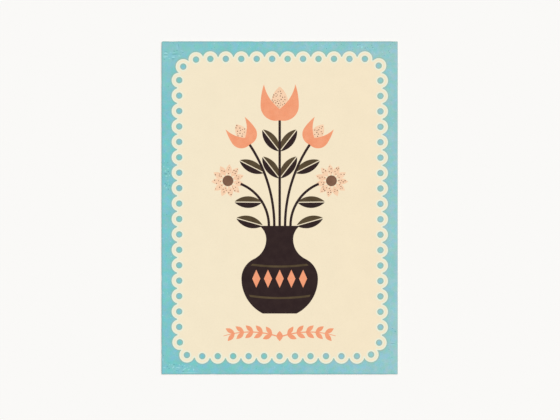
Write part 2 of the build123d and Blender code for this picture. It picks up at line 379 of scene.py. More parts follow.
def aqua_finish(name, overprinted=False):
    """Aqua ground: paler towards the right by painted light from the right, and paler in the top left
    corner, faintly cloudy, grained by the paper, darker along the cut edge by painted shade and paler on
    its right edge by a painted highlight. Where a breath of cream is printed over it, it is greyer towards
    the lace, most of all in the eyelets."""
    ink = Finish(name, roughness=0.62, specular=0.18)
    # painted light from the right: the aqua turns paler towards the right
    across = ink.maths("POWER", ink.fit(ink.x, LEFT_TO_RIGHT), PAINTED_LIGHT_PALING)
    green, blue = ink.mix(*AQUA_GREENS, across), ink.mix(*AQUA_BLUES, across)
    colour = ink.mix(green, blue, ink.pattern(2.7, CLOUDY, roughness=0.55))
    warmth = ink.pattern(2.3, CLOUDY, roughness=0.55, shift=(7, 4, 0))
    colour = ink.mix(colour, ink.mix(COOL_TINT, WARM_TINT, warmth), 1.0, "MULTIPLY")
    drift = ink.pattern(7.0, EVEN, (0.965, 1.035), detail=1.0, shift=(3, 8, 0))
    grain = ink.pattern(0.5, EVEN, (0.935, 1.065), detail=3.0, roughness=0.6)
    colour = ink.shade(colour, ink.times(drift, grain))
    from_corner = ink.vectors("LENGTH", ink.vectors("SUBTRACT", ink.card, TOP_LEFT_CORNER))
    colour = ink.mix(colour, FADED_AQUA, ink.fit(from_corner, FADED_REACH, (FADED_SHARE, 0.0)))
    inwards = ink.edge_distance()
    # painted shade darkens the aqua along the cut edge; a painted highlight makes the right edge paler
    edge_shade_and_highlight = ink.mix(EDGE_SHADE_AQUA, RIGHT_EDGE_HIGHLIGHT_AQUA, ink.fit(ink.x, RIGHT_HIGHLIGHT_BAND))
    colour = ink.mix(colour, edge_shade_and_highlight, ink.fit(inwards, EDGE_SHADE_BAND, (EDGE_SHADE_SHARE, 0.0), smooth=True))
    pinholes = ink.pattern(0.16, (0.7, 0.76), (0.0, 0.3), shift=(1, 5, 0))
    colour = ink.mix(colour, BARE_COATING, pinholes)
    if overprinted:
        share = ink.fit(inwards, OVERPRINT_BAND, OVERPRINT_SHARES)
        cover = ink.fit(ink.attribute("rim"), (0.0, 1.0), (1.0, 0.0), smooth=True)
        colour = ink.mix(colour, OVERPRINTED_AQUA, ink.times(share, cover))
    ink.colour(colour)
    ink.roughness(ink.pattern(2.3, EVEN, (0.56, 0.7)))
    ink.tooth(0.3, 6.0, 0.5)
    return ink.material


def wear_finish(name, colour):
    """Worn aqua ink, broken up by the grain of the paper."""
    ink = Finish(name, roughness=0.75, specular=0.12)
    broken = ink.pattern(0.18, CLOUDY, (0.4, 0.9), detail=3.0, roughness=0.6)
    ink.colour(ink.mix(WORN_AQUA, linear(*colour), broken))
    ink.tooth(0.2, 8.0, 0.5)
    return ink.material


def cream_finish():
    """Cream panel: very even, a little warmer towards the right, paler along its edges by a painted
    highlight as on a slightly embossed rim, with the tooth of the paper."""
    ink = Finish("cream_print", roughness=0.66, specular=0.18)
    colour = ink.mix(*CREAMS, ink.fit(ink.x, LEFT_TO_RIGHT))
    # painted highlight: the cream is paler along the edges of the panel
    colour = ink.mix(colour, RIM_HIGHLIGHT_CREAM, ink.fit(ink.attribute("rim"), (0.0, 0.7), smooth=True))
    clouds = ink.pattern(9.0, EVEN, (0.988, 1.008), shift=(5, 2, 0))
    grain = ink.pattern(0.3, EVEN, (0.982, 1.016), detail=3.0, roughness=0.6)
    colour = ink.shade(colour, ink.times(clouds, grain))
    fibres = ink.pattern(0.22, (0.66, 0.74), (0.0, 0.3), detail=1.0, stretch=(7, 1, 1), turn=33)
    ink.colour(ink.mix(colour, CREAM_FIBRE, fibres))
    ink.roughness(ink.pattern(2.0, EVEN, (0.6, 0.74)))
    ink.tooth(0.3, 6.0, 0.5)
    return ink.material


def flat_ink(name, colour, deep, pale, seed, bare=0.25):
    """Flat printing ink: a little cloudy, grained by the paper, with pinholes where the cream shows."""
    ink = Finish(name, roughness=0.6, specular=0.05)
    shift = (seed * 3.1, seed * 1.7, 0)
    clouds = ink.pattern(3.4, (0.32, 0.68), detail=3.0, roughness=0.55, shift=shift)
    value = ink.mix(linear(*deep), linear(*pale), clouds)
    value = ink.mix(value, linear(*colour), PLAIN_SHARE)
    grain = ink.pattern(0.32, EVEN, (0.93, 1.07), detail=3.0, roughness=0.6, shift=shift)
    pinholes = ink.pattern(0.17, (0.72, 0.78), (0.0, bare), shift=shift)
    ink.colour(ink.mix(ink.shade(value, grain), PINHOLE_CREAM, pinholes))
    ink.roughness(ink.pattern(1.8, EVEN, (0.52, 0.68), shift=shift))
    ink.tooth(0.3, 6.0, 0.4)
    return ink.material


def paper_finish(name, colour, fibre, tooth_um, roughness):
    """Uncoated paper: laid fibres in two directions, faint clouds of the sheet and a felt-like tooth."""
    paper = Finish(name, roughness, specular=0.2)
    clouds = paper.pattern(5.0, EVEN, (0.975, 1.01), detail=3.0)
    value = paper.shade(linear(*colour), clouds)
    along = paper.pattern(0.2, (0.58, 0.74), stretch=(9, 1, 1), turn=12)
    aslant = paper.pattern(0.17, (0.6, 0.74), stretch=(8, 1, 1), shift=(3, 3, 0), turn=-58)
    strands = paper.maths("MAXIMUM", along, aslant)
    value = paper.mix(value, linear(*fibre), paper.times(strands, 0.5))
    flecks = paper.pattern(0.3, (0.76, 0.8), (0.0, 0.3), detail=1.0, shift=(8, 1, 0))
    paper.colour(paper.mix(value, PAPER_FLECK, flecks))
    tooth = paper.plus(paper.noise(0.28, detail=5.0, roughness=0.62), paper.times(strands, 0.3))
    paper.bumps(tooth, tooth_um, 0.6)
    return paper.material


def board_finish():
    """Cut edge of the board's core: grey-cream fibres in thin layers along the sheet."""
    board = Finish("board_fibres", roughness=0.9, specular=0.1)
    layers = board.noise(0.035, detail=3.0, roughness=0.6, stretch=(60, 60, 1))
    tufts = board.pattern(0.12, (0.56, 0.72), (0.0, 0.6), detail=3.0)
    board.colour(board.mix(board.mix(*BOARD_LAYERS, board.fit(layers, EVEN)), BOARD_TUFT, tufts))
    board.bumps(board.plus(layers, board.noise(0.08, detail=3.0)), 12.0, 0.8)
    return board.material


def writing_ink():
    """Thin grey-brown print of the writing side, soaked a little into the fibres."""
    ink = Finish("writing_print", roughness=0.75, specular=0.1)
    thin = ink.pattern(0.25, (0.35, 0.72), detail=3.0, roughness=0.6)
    gaps = ink.pattern(0.14, (0.66, 0.74), (0.0, 0.5), shift=(2, 2, 0))
    ink.colour(ink.mix(ink.mix(*WRITING_INKS, thin), WRITING_GAP, gaps))
    ink.tooth(0.28, 5.0, 0.5)
    return ink.material


aqua_print = aqua_finish("aqua_print")
overprinted_aqua = aqua_finish("overprinted_aqua", overprinted=True)
pale_wear = wear_finish("pale_wear", (166, 225, 230))
dark_wear = wear_finish("dark_wear", (74, 138, 149))
cream_print = cream_finish()
brown_print = flat_ink("dark_brown_print", (48, 34, 34), (43, 30, 31), (56, 42, 40), 1, 0.05)
olive_print = flat_ink("olive_print", (84, 70, 50), (74, 61, 43), (98, 83, 60), 2, 0.12)
coral_print = flat_ink("coral_print", (243, 159, 119), (239, 150, 110), (246, 168, 130), 3)
blush_print = flat_ink("blush_print", (247, 208, 174), (244, 198, 162), (250, 218, 186), 4)
walnut_print = flat_ink("walnut_print", (124, 90, 71), (112, 80, 62), (138, 102, 82), 5, 0.15)
writing_print = writing_ink()
writing_paper = paper_finish("toothed_paper", (245, 241, 231), (232, 225, 210), 14.0, 0.88)
liner_paper = paper_finish("liner_paper", (246, 244, 238), (236, 232, 222), 8.0, 0.8)
coating_white = paper_finish("white_coating", (248, 247, 243), (242, 240, 234), 4.0, 0.6)
board_core = board_finish()


# Board, cut with a guillotine: the layers above its core are trimmed a little further in, one by one

CORNERS = ((-1, -1), (1, -1), (1, 1), (-1, 1))  # anticlockwise from the bottom left
CORNER_BLUNTING = (0.22, 0.2, 0.25, 0.7)
CORNER_POINTS = 9
EDGE_POINT_PITCH = 0.8
FRAYING = 0.012  # how far the cut wavers inwards
FRAYS_PER_MM = 0.6
FRAY_SEED = 3.0
NICK_REACHES = (1, 1, 1, 2, 2, 3)  # in points to each side
NICK_ROOTS = (0.25, 1.0)           # square roots of a nick's share of the full depth


def sheet_line(nick_seed=None, nick_count=0, nick_depth=0.0):
    """Points of the sheet's edge, anticlockwise, each with its outward direction and its wear inwards."""
    corners = [(x * SHEET_WIDTH / 2, y * SHEET_HEIGHT / 2) for x, y in CORNERS]
    points = []
    for number, (x, y) in enumerate(corners):
        blunt = CORNER_BLUNTING[number]
        centre = Vector((x - math.copysign(blunt, x), y - math.copysign(blunt, y)))
        start = math.pi + number * math.pi / 2
        for step in range(CORNER_POINTS):
            angle = start + step / (CORNER_POINTS - 1) * math.pi / 2
            outward = Vector((math.cos(angle), math.sin(angle)))
            points.append((centre + blunt * outward, outward))
        end, outward = points[-1]
        following = Vector(corners[(number + 1) % 4])
        forward = (following - Vector((x, y))).normalized()
        run = (following - end).dot(forward) - CORNER_BLUNTING[(number + 1) % 4]
        count = int(run / EDGE_POINT_PITCH)
        for step in range(1, count):
            points.append((end + forward * run * step / count, outward))
    worn = []
    for point, _ in points:
        wave = noise.noise((point.x * FRAYS_PER_MM, point.y * FRAYS_PER_MM, FRAY_SEED))
        worn.append(FRAYING * (0.5 + 0.5 * wave))
    draw = random.Random(nick_seed)
    for _ in range(nick_count):
        middle = draw.randrange(len(points))
        reach = draw.choice(NICK_REACHES)
        depth = nick_depth * draw.uniform(*NICK_ROOTS) ** 2
        for step in range(-reach, reach + 1):
            spot = (middle + step) % len(points)
            share = math.cos(step / (reach + 1) * math.pi / 2)
            worn[spot] = max(worn[spot], depth * share)
    return [(point, outward, depth) for (point, outward), depth in zip(points, worn)]


def sheet_layer(name, low_m, high_m, inset_low, inset_high, material, line):
    """Closed layer of the sheet between two heights, trimmed in by its insets."""
    verts = []
    for height, inset in ((low_m, inset_low), (high_m, inset_high)):
        for point, outward, worn in line:
            spot = (point - outward * (inset + worn)) * MM
            verts.append((spot.x, spot.y, height))
    count = len(line)
    faces = [tuple(range(count - 1, -1, -1)), tuple(range(count, 2 * count))]
    for number in range(count):
        following = (number + 1) % count
        faces.append((number, following, count + following, count + number))
    mesh = bpy.data.meshes.new(name)
    mesh.from_pydata(verts, [], faces)
    mesh.materials.append(material)
    mesh.update()
    return add_object(name, mesh)


def hand_over(piece, slot, *nodes):
    """Hand a finished piece to the card, in place of its solids if it stands for any."""
    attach(piece, "root")
    if nodes:
        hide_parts(*nodes)


def heights(node):
    low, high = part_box(node)
    return low.z, high.z


RELIEF_M = 2e-6  # how far the print of the writing side stands out of the paper
BEVEL = 0.035    # of the writing side
TRIM = 0.006

cut_line = sheet_line()
print_line = sheet_line(nick_seed=11, nick_count=36, nick_depth=0.1)

# piece, solid, slot, material, lift of the underside, insets of underside and top, and edge line
LAYERS = (
    ("writing_ply", "back_liner", "writing_paper", writing_paper, RELIEF_M, BEVEL, 0, cut_line),
    ("core_board", "core_ply", "board_core", board_core, 0, 0, 0, cut_line),
    ("picture_ply", "front_liner", "white_liner", liner_paper, 0, 0, TRIM, cut_line),
    ("coating_skin", "front_coating", "matt_coating", coating_white, 0, TRIM, 2 * TRIM, cut_line),
    ("aqua_skin", "aqua_ground", "aqua_ink", aqua_print, 0, 2 * TRIM, 4 * TRIM, print_line),
)
for name, solid, slot, material, raised_m, inset_low, inset_high, line in LAYERS:
    low, high = heights(solid)
    layer = sheet_layer(name, low + raised_m, high, inset_low, inset_high, material, line)
    hand_over(layer, slot, solid)


# Cream panel: scallops and round eyelets in a ring, even along the sides and uneven round the corners

def even_run(first, last, count):
    start, end = Vector(first), Vector(last)
    return [start.lerp(end, number / (count - 1)) for number in range(count)]


# centres of the eyelets, clockwise
EYELET_RING = (
    even_run((-30.81, 66.19), (37.86, 66.19), 11)
    + [Vector((44.02, 63.17))]
    + even_run((44.78, 56.55), (44.78, -53.06), 17)
    + [Vector((44.20, -59.94)), Vector((40.62, -65.22))]
    + even_run((34.32, -65.94), (-34.41, -65.94), 11)
    + [Vector((-41.24, -65.43)), Vector((-44.37, -59.80))]
    + even_run((-44.67, -52.95), (-44.67, 56.71), 17)
    + [Vector((-42.86, 62.75)), Vector((-37.18, 65.87))]
)
SCALLOP_RADIUS = 3.36
SCALLOP_POINTS = 28
SHOULDER = 1.14  # where the round of a scallop ends, above the line of the eyelets
NOTCH = 0.86     # point of the notch, above the same line
EYELET_DIAMETER = 2.84
EYELET_POINTS = 36
SOFT_EDGE = 0.85
OVERPRINT_WIDTH = 0.82
OVERPRINT_FILM_M = 1.5e-6


def points_mesh(name, points):
    mesh = bpy.data.meshes.new(name)
    mesh.from_pydata([(point[0] * MM, point[1] * MM, 0) for point in points], [], [])
    return mesh


def keep_values(mesh, label, values):
    """Let each point of a mesh keep a value under a label."""
    mesh.attributes.new(label, "FLOAT", "POINT").data.foreach_set("value", values)


def lace_recipe():
    """Panel whose edge runs round the outside of equal discs, with a pointed notch between two discs and a
    round eyelet in each. Along all edges runs a rim as wide as the soft edge, in which the attribute rim
    grows from 0 to 1 towards the edge."""
    lace = Recipe("scalloped_eyelet_lace", Geometry=["Geometry"], Float=[
        "Scallop Radius", "Shoulder", "Notch", "Eyelet Diameter", "Soft Edge", "Level", "Film",
    ], Int=["Points per Scallop", "Points per Eyelet"], Material=["Ink"])
    centres, soft = lace["Geometry"], lace["Soft Edge"]
    per_scallop, per_eyelet = lace["Points per Scallop"], lace["Points per Eyelet"]
    size = lace.node("GeometryNodeAttributeDomainSize", {"Geometry": centres}, component="MESH")
    count = size.outputs["Point Count"]
    position = lace.position()

    def polar(angle, radius):
        across = lace.times(lace.maths("COSINE", angle), radius)
        upward = lace.times(lace.maths("SINE", angle), radius)
        return lace.vector(across, upward)

    def scallop_point(step, inset):
        """Position of a point of the edge, counted clockwise from a notch, or of the line inset from it."""
        number = lace.maths("FLOOR", lace.over(step, per_scallop))
        within = lace.minus(step, lace.times(number, per_scallop))
        radius = lace.minus(lace["Scallop Radius"], inset)

        def centre(ahead):
            """Centre of this point's eyelet, or of the one before or after it."""
            which = lace.maths("FLOORED_MODULO", lace.plus(number, ahead), count)
            return lace.node("GeometryNodeSampleIndex", {
                "Geometry": centres, "Value": position, "Index": which,
            }, data_type="FLOAT_VECTOR", domain="POINT").outputs["Value"]

        own = centre(0.0)

        def beside(ahead, floor):
            """Where the disc meets its neighbour, as seen from its centre, but not below a floor."""
            half = lace.scaled(lace.vectors("SUBTRACT", centre(ahead), own), 0.5)
            outward = lace.vectors("CROSS_PRODUCT", (0, 0, ahead), lace.vectors("NORMALIZE", half))
            apart = lace.times(lace.vectors("DOT_PRODUCT", half, half), -1.0)
            room = lace.maths("MULTIPLY_ADD", radius, radius, apart)
            meet = lace.maths("SQRT", lace.maths("MAXIMUM", room, 0.0))
            rise = lace.maths("MAXIMUM", meet, lace.minus(floor, inset))
            return lace.vectors("ADD", half, lace.scaled(outward, rise))

        def shoulder_angle(ahead):
            aim = lace.axes(beside(ahead, lace["Shoulder"]))
            return lace.maths("ARCTAN2", aim["Y"], aim["X"])

        first = shoulder_angle(-1.0)
        sweep = lace.maths("FLOORED_MODULO", lace.minus(first, shoulder_angle(1.0)), math.tau)
        share = lace.over(lace.minus(within, 1.0), lace.minus(per_scallop, 2.0))
        arc = polar(lace.minus(first, lace.times(sweep, share)), radius)
        in_notch = lace.maths("LESS_THAN", within, 0.5)
        arm = lace.mixed("VECTOR", arc, beside(-1.0, lace["Notch"]), in_notch)
        return lace.vectors("ADD", own, arm)

    def eyelet_point(step, inset):
        angle = lace.over(lace.times(step, math.tau), per_eyelet)
        return polar(angle, lace.maths("MULTIPLY_ADD", lace["Eyelet Diameter"], 0.5, inset))

    def rim_strip(points, point):
        """Strip of faces in two rows of points along a closed line: the inset row, then the edge row."""
        strip = lace.node("GeometryNodeMeshGrid", {"Vertices X": lace.plus(points, 1.0), "Vertices Y": 2})
        column = lace.maths("FLOOR", lace.over(lace.index(), 2.0))
        row = lace.minus(lace.index(), lace.times(column, 2.0))
        inset = lace.times(soft, lace.minus(1.0, row))
        where = point(lace.maths("FLOORED_MODULO", column, points), inset)
        return lace.set_points(lace.kept(strip.outputs["Mesh"], "rim", row), Position=where)

    def at_centres(shape):
        return lace.realized(lace.turned_copies(shape, centres, 0.0))

    edge_points = lace.times(count, per_scallop)
    outline = lace.closed_line(edge_points, scallop_point(lace.index(), soft))
    eyelet = lace.closed_line(per_eyelet, eyelet_point(lace.index(), soft))
    middle = lace.filled(outline, at_centres(eyelet))
    scallop_rims = rim_strip(edge_points, scallop_point)
    eyelet_rims = at_centres(rim_strip(per_eyelet, eyelet_point))
    flat = lace.welded(middle, scallop_rims, eyelet_rims)
    lace.finish(lace.film(flat, lace["Level"], lace["Film"]), lace["Ink"])
    return lace


lace_border = lace_recipe()


def lace_film(name, margin, soft_edge, low, high, ink):
    """Lace panel that reaches margin millimetres further out, and further into its eyelets."""
    return lace_border.make(name, {
        "Scallop Radius": (SCALLOP_RADIUS + margin) * MM, "Shoulder": (SHOULDER + margin) * MM,
        "Notch": (NOTCH + margin) * MM, "Eyelet Diameter": (EYELET_DIAMETER - 2 * margin) * MM,
        "Soft Edge": soft_edge * MM, "Points per Scallop": SCALLOP_POINTS,
        "Points per Eyelet": EYELET_POINTS, "Level": low, "Film": high - low, "Ink": ink,
    }, points_mesh(name, EYELET_RING))


low, high = heights("cream_lace_panel")
between = low + OVERPRINT_FILM_M
overprint = lace_film("lace_overprint", OVERPRINT_WIDTH, OVERPRINT_WIDTH, low, between, overprinted_aqua)
hand_over(overprint, "aqua_ink")
panel = lace_film("lace_panel", 0.0, SOFT_EDGE, between, high, cream_print)
hand_over(panel, "cream_ink", "cream_lace_panel")


# Wear of the aqua border: scratches, flecks and specks

MARK_FILM_M = 1e-6
MARK_POINTS = 16
MARK_MARGIN = 0.3  # room between a scattered mark and the edge of the sheet
PANEL_HALF_WIDTH = 45.0
PANEL_HALF_HEIGHT = 66.5
WEAR_SEED = 23


def marks_recipe():
    """Thin pointed marks, each with its own length, width and angle."""
    marks = Recipe("wear_marks", Geometry=["Geometry"], Float=["Film"], Material=["Ink"])
    oval = marks.pointed_oval(root=-0.5, length=1.0, width=1.0, points=MARK_POINTS)
    sliver = marks.film(marks.filled(oval), 0.0, marks["Film"])
    size = marks.vector(marks.attribute("length"), marks.attribute("width"), 1.0)
    copies = marks.turned_copies(sliver, marks["Geometry"], marks.attribute("angle"), size)
    marks.finish(copies, marks["Ink"])
    return marks


def mark_box(x, y, length, width, angle):
    """Lowest and highest x and y of a mark."""
    along, aside = abs(math.cos(math.radians(angle))), abs(math.sin(math.radians(angle)))
    half_x, half_y = (along * length + aside * width) / 2, (aside * length + along * width) / 2
    return x - half_x, x + half_x, y - half_y, y + half_y


def scatter_marks(marks, taken, draw, area, count, lengths, widths, angles):
    """Spread marks over an area of the card, on the aqua border and clear of one another."""
    left, right, bottom, top = area
    added = 0
    while added < count:
        x, y = draw.uniform(left, right), draw.uniform(bottom, top)
        mark = (x, y, draw.uniform(*lengths), draw.uniform(*widths), draw.uniform(*angles))
        low_x, high_x, low_y, high_y = box = mark_box(*mark)
        inside_x = max(-low_x, high_x) < SHEET_WIDTH / 2 - MARK_MARGIN
        inside_y = max(-low_y, high_y) < SHEET_HEIGHT / 2 - MARK_MARGIN
        off_panel = abs(x) > PANEL_HALF_WIDTH or abs(y) > PANEL_HALF_HEIGHT
        lace_reach = SCALLOP_RADIUS + OVERPRINT_WIDTH + max(mark[2:4]) / 2
        clear_of_lace = all((Vector((x, y)) - eyelet).length > lace_reach for eyelet in EYELET_RING)
        clear_of_marks = all(high_x < a or low_x > b or high_y < c or low_y > d for a, b, c, d in taken)
        if inside_x and inside_y and off_panel and clear_of_lace and clear_of_marks:
            marks.append(mark)
            taken.append(box)
            added += 1


# the marks that show from a step away: x, y, length, width and angle in degrees
pale_marks = [
    (-45.6, 71.6, 2.7, 0.26, 90), (-50.5, 68.6, 2.0, 0.45, 2), (-47.0, 68.95, 1.7, 0.24, 3),
    (-50.7, 67.35, 2.4, 0.45, 3), (-51.1, 66.75, 0.9, 0.4, 0), (-47.3, 66.95, 1.8, 0.55, 0),
    (-44.5, 67.5, 1.7, 0.4, -4), (-49.0, 66.3, 1.0, 0.3, 0), (-47.9, -69.8, 0.5, 0.42, 0),
    (-42.2, -70.2, 0.55, 0.45, 0), (-47.3, -70.9, 1.6, 0.5, 50), (-45.1, -71.0, 2.4, 0.5, -8),
    (-42.4, -71.7, 2.1, 0.45, 37), (-40.4, -71.9, 0.9, 0.55, 20), (-38.3, -71.9, 1.0, 0.55, 80),
    (-40.0, -73.25, 8.5, 0.24, 0), (-51.9, -67.5, 1.6, 0.3, 90), (-51.3, -71.0, 1.6, 0.32, 14),
    (36.6, 71.4, 1.3, 0.85, 70), (50.2, -60.9, 2.4, 0.26, 0), (-49.6, 17.4, 0.9, 0.55, 80),
    (-50.8, 16.4, 0.9, 0.45, 30), (-50.3, 14.1, 1.3, 0.5, 0), (-49.0, 14.4, 0.8, 0.4, -45),
    (-51.2, 9.7, 0.75, 0.55, 90), (-50.4, 8.9, 0.75, 0.5, 30), (-49.4, 10.6, 0.5, 0.4, 45),
]
dark_marks = [
    (-45.1, 72.2, 1.5, 0.24, 90), (-46.5, 68.3, 3.9, 0.3, 3), (-50.6, 68.0, 1.9, 0.24, 0),
    (-51.2, 66.05, 1.0, 0.26, 0), (-47.3, 66.2, 1.8, 0.28, 0), (-50.5, 69.4, 1.8, 0.18, 0),
    (-47.0, -69.6, 0.75, 0.5, 20), (-46.1, -69.8, 0.45, 0.35, 0), (-49.9, -70.6, 0.9, 0.3, 0),
    (-42.9, -72.75, 1.1, 0.26, 8), (34.7, 72.4, 0.65, 0.4, 0), (35.7, 72.6, 0.5, 0.35, 0),
    (38.0, 71.0, 0.75, 0.42, 20), (38.9, 71.3, 0.5, 0.3, 0), (50.1, -53.7, 0.7, 0.34, -40),
    (51.3, -55.0, 0.7, 0.34, -40), (50.2, -60.4, 2.2, 0.2, 0), (-50.7, 15.1, 1.8, 0.45, 0),
    (-49.5, 16.1, 0.9, 0.45, -45), (-48.9, 15.21, 0.65, 0.4, -45), (-50.9, 10.8, 0.65, 0.5, -30),
    (-50.2, 10.2, 0.8, 0.42, 85), (-48.9, 9.9, 0.8, 0.4, 0), (-49.5, 8.3, 0.8, 0.5, 60),
]

# areas with more wear: left, right, bottom and top
TOP_LEFT = (-51.6, -43.0, 66.0, 70.0)
BOTTOM_LEFT = (-51.0, -36.5, -72.8, -69.2)
LEFT_MIDDLE = (-51.8, -48.4, 8.0, 21.0)
TOP_RIGHT = (12.0, 50.0, 66.0, 72.8)
WHOLE = (-52.0, 52.0, -73.5, 73.5)

# finer marks: the list that they join, their area and count, and limits of lengths, widths and angles
FINER_MARKS = (
    (pale_marks, TOP_LEFT, 3, (0.6, 1.2), (0.16, 0.3), (-6, 6)),
    (dark_marks, TOP_LEFT, 4, (0.6, 1.4), (0.14, 0.24), (-4, 6)),
    (pale_marks, BOTTOM_LEFT, 8, (0.4, 1.0), (0.2, 0.4), (-30, 60)),
    (dark_marks, BOTTOM_LEFT, 6, (0.35, 0.8), (0.2, 0.34), (0, 180)),
    (pale_marks, LEFT_MIDDLE, 4, (0.4, 1.2), (0.2, 0.36), (25, 100)),
    (dark_marks, LEFT_MIDDLE, 3, (0.3, 0.8), (0.2, 0.3), (20, 60)),
    (pale_marks, TOP_RIGHT, 8, (0.35, 0.8), (0.26, 0.44), (0, 180)),
    (dark_marks, TOP_RIGHT, 12, (0.3, 0.6), (0.24, 0.4), (0, 180)),
    (pale_marks, WHOLE, 40, (0.25, 0.7), (0.2, 0.36), (0, 180)),
    (dark_marks, WHOLE, 40, (0.25, 0.6), (0.2, 0.34), (0, 180)),
)
taken = [mark_box(*mark) for mark in pale_marks + dark_marks]
draw = random.Random(WEAR_SEED)
for marks, *limits in FINER_MARKS:
    scatter_marks(marks, taken, draw, *limits)

wear = marks_recipe()
ground_top = heights("aqua_ground")[1]
for name, marks, ink in (
    ("pale_wear_marks", pale_marks, pale_wear),
    ("dark_wear_marks", dark_marks, dark_wear),
):
    mesh = points_mesh(name, marks)
    for vertex in mesh.vertices:
        vertex.co.z = ground_top
    _, _, lengths, widths, angles = zip(*marks)
    keep_values(mesh, "length", [length * MM for length in lengths])
    keep_values(mesh, "width", [width * MM for width in widths])
    keep_values(mesh, "angle", [math.radians(angle) for angle in angles])
    hand_over(wear.make(name, {"Film": MARK_FILM_M, "Ink": ink}, mesh), "aqua_ink")


# Picture: asters, speckled hearts and the sprig under the vase

SPECKLED_DROP_M = 4e-6  # how far a speckled ground lies below the other inks
ASTERS = ((23.0, 12.0, 95.4), (-23.0, 12.0, 84.6))  # x, y and the angle of a petal in degrees

film_low, film_high = heights("vase_body")
speckled_high = film_high - SPECKLED_DROP_M


def aster_recipe():
    """Flowers of pointed petals, one on each point, turned by its angle."""
    aster = Recipe("aster_petals", Geometry=["Geometry"], Float=[
        "Root", "Length", "Width", "Level", "Film",
    ], Int=["Petals"], Material=["Ink"])
    petal = aster.filled(aster.pointed_oval(aster["Root"], aster["Length"], aster["Width"]))
    petal = aster.film(petal, aster["Level"], aster["Film"])
    spokes = aster.node("GeometryNodePoints", {"Count": aster["Petals"]}).outputs["Points"]
    step = aster.over(math.tau, aster["Petals"])
    flower = aster.turned_copies(petal, spokes, aster.times(aster.index(), step))
    aster.finish(aster.turned_copies(flower, aster["Geometry"], aster.attribute("angle")), aster["Ink"])
    return aster


aster_points = points_mesh("aster_petals", ASTERS)
keep_values(aster_points, "angle", [math.radians(angle) for _, _, angle in ASTERS])
aster_flowers = aster_recipe().make("aster_flowers", {
    "Petals": 11, "Root": 2.2 * MM, "Length": 5.2 * MM, "Width": 2.6 * MM,
    "Level": film_low, "Film": speckled_high - film_low, "Ink": blush_print,
}, aster_points)
hand_over(aster_flowers, "blush_ink", "aster_petals")


def lowered_copy(name, node, top, ink):
    """Copy of a flat solid, with its top face lowered."""
    form = bmesh.new()
    form.from_mesh(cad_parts[node].data)
    bmesh.ops.remove_doubles(form, verts=form.verts, dist=WELD_M)
    middle = (film_low + film_high) / 2
    for vertex in form.verts:
        if vertex.co.z > middle:
            vertex.co.z = top
    mesh = bpy.data.meshes.new(name)
    form.to_mesh(mesh)
    form.free()
    mesh.materials.clear()
    mesh.materials.append(ink)
    return add_object(name, mesh)


speckled_hearts = lowered_copy("speckled_hearts", "tulip_hearts", speckled_high, blush_print)
hand_over(speckled_hearts, "blush_ink", "tulip_hearts")

DOTS_PER_SQUARE_METRE = 2.6e6  # before those too close to another are dropped
DOT_SCALES = (0.75, 1.2)
DOT_SIDES = 14
DOT_FILM_M = 2.5e-6


def speckle_recipe():
    """Small round dots of ink scattered over a flat area, clear of its edge."""
    speckle = Recipe("ink_dots", Geometry=["Geometry"], Float=[
        "Spacing", "Density", "Margin", "Diameter", "Film",
    ], Int=["Seed"], Material=["Ink"])
    area, film, seed = speckle["Geometry"], speckle["Film"], speckle["Seed"]
    points = speckle.node("GeometryNodeDistributePointsOnFaces", {
        "Mesh": area, "Distance Min": speckle["Spacing"], "Density Max": speckle["Density"], "Seed": seed,
    }, distribute_method="POISSON").outputs["Points"]
    faces = speckle.node("GeometryNodeInputMeshEdgeNeighbors").outputs["Face Count"]
    rim = speckle.node("GeometryNodeSeparateGeometry", {
        "Geometry": area, "Selection": speckle.maths("LESS_THAN", faces, 1.5),
    }, domain="EDGE").outputs["Selection"]
    distance = speckle.node("GeometryNodeProximity", {
        0: rim, "Sample Position": speckle.position(),
    }, target_element="EDGES").outputs["Distance"]
    points = speckle.node("GeometryNodeDeleteGeometry", {
        "Geometry": points, "Selection": speckle.maths("LESS_THAN", distance, speckle["Margin"]),
    }).outputs["Geometry"]
    points = speckle.set_points(points, Offset=speckle.vector(z=speckle.times(film, 0.5)))
    dot = speckle.node("GeometryNodeMeshCylinder", {
        "Vertices": DOT_SIDES, "Radius": speckle.times(speckle["Diameter"], 0.5), "Depth": film,
    }).outputs["Mesh"]
    # a Random Value node's number sockets: 2 and 3 are its limits, and output 1 is the draw
    scale = speckle.node("FunctionNodeRandomValue", {
        2: DOT_SCALES[0], 3: DOT_SCALES[1], "Seed": seed,
    }, data_type="FLOAT").outputs[1]
    dots = speckle.turned_copies(dot, points, 0.0, speckle.vector(scale, scale, 1.0))
    speckle.finish(dots, speckle["Ink"])
    return speckle


def top_faces(name, piece):
    """Upward faces of a piece as a flat mesh."""
    form = bmesh.new()
    form.from_mesh(piece.data)
    form.normal_update()
    others = [face for face in form.faces if face.normal.z < 0.5]
    bmesh.ops.delete(form, geom=others, context="FACES")
    mesh = bpy.data.meshes.new(name)
    form.to_mesh(mesh)
    form.free()
    return mesh


speckle = speckle_recipe()
for name, piece, seed in (("heart_dots", speckled_hearts, 4), ("aster_dots", aster_flowers, 9)):
    dots = speckle.make(name, {
        "Spacing": 0.82 * MM, "Density": DOTS_PER_SQUARE_METRE, "Margin": 0.3 * MM, "Diameter": 0.46 * MM,
        "Film": DOT_FILM_M, "Seed": seed, "Ink": walnut_print,
    }, top_faces(name, piece))
    hand_over(dots, "walnut_ink")

TWIG_POINTS = 64
TWIG_TAPER = 0.6    # share of its width that a twig's line loses at the tip
LEAF_DROP_M = 5e-7  # how far leaves and bud lie below the line, so that no two tops share a plane


